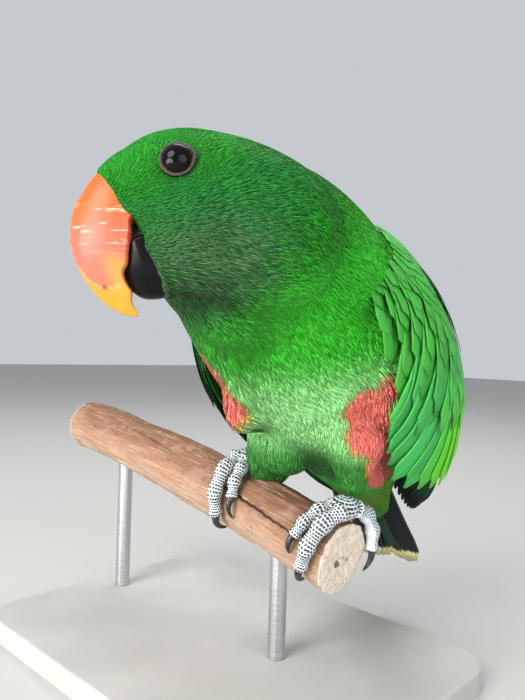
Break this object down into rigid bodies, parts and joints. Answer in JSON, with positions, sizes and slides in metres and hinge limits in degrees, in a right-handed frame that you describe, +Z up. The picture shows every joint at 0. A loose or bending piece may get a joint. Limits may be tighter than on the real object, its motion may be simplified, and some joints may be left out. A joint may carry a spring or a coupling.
{
  "type": "eclectus parrot on a perch",
  "caption": "Life-size still model of a male eclectus parrot gripping a cut length of branch, with its head turned, held up by a plain stand of a flat base and short rods.",
  "frame": {"origin": "centre of the stand base's underside", "axes": "+Z up, +X along the branch towards its near end and to the bird's left, -Y the way its feet face"},
  "size_m": [0.2533, 0.2343, 0.2134],
  "materials": {
    "head_feathers": "fine feathers",
    "body_feathers": "small overlapping feathers",
    "wing_feathers": "smooth vanes",
    "tail_feathers": "smooth vanes",
    "upper_bill": "satin horn",
    "lower_bill": "polished horn",
    "eye": "wet gloss",
    "scaly_skin": "dry scales",
    "claw": "satin horn",
    "branch_wood": "bare, weathered",
    "stand_paint": "matt paint",
    "stand_steel": "brushed"
  },
  "bodies": {
    "root": {"head": "head_feathers", "neck": "body_feathers", "torso": "body_feathers", "leg_left": "body_feathers", "leg_right": "body_feathers", "wing_left": "wing_feathers", "wing_right": "wing_feathers", "tail": "tail_feathers", "bill_upper": "upper_bill", "bill_lower": "lower_bill", "eye_left": "eye", "eye_right": "eye", "foot_left": "scaly_skin", "foot_right": "scaly_skin", "claw_left_inner_front": "claw", "claw_left_outer_front": "claw", "claw_left_outer_rear": "claw", "claw_left_inner_rear": "claw", "claw_right_inner_front": "claw", "claw_right_outer_front": "claw", "claw_right_outer_rear": "claw", "claw_right_inner_rear": "claw", "perch": "branch_wood", "stand_base": "stand_paint", "stand_rod_far": "stand_steel", "stand_rod_near": "stand_steel"}
  },
  "joints": []
}
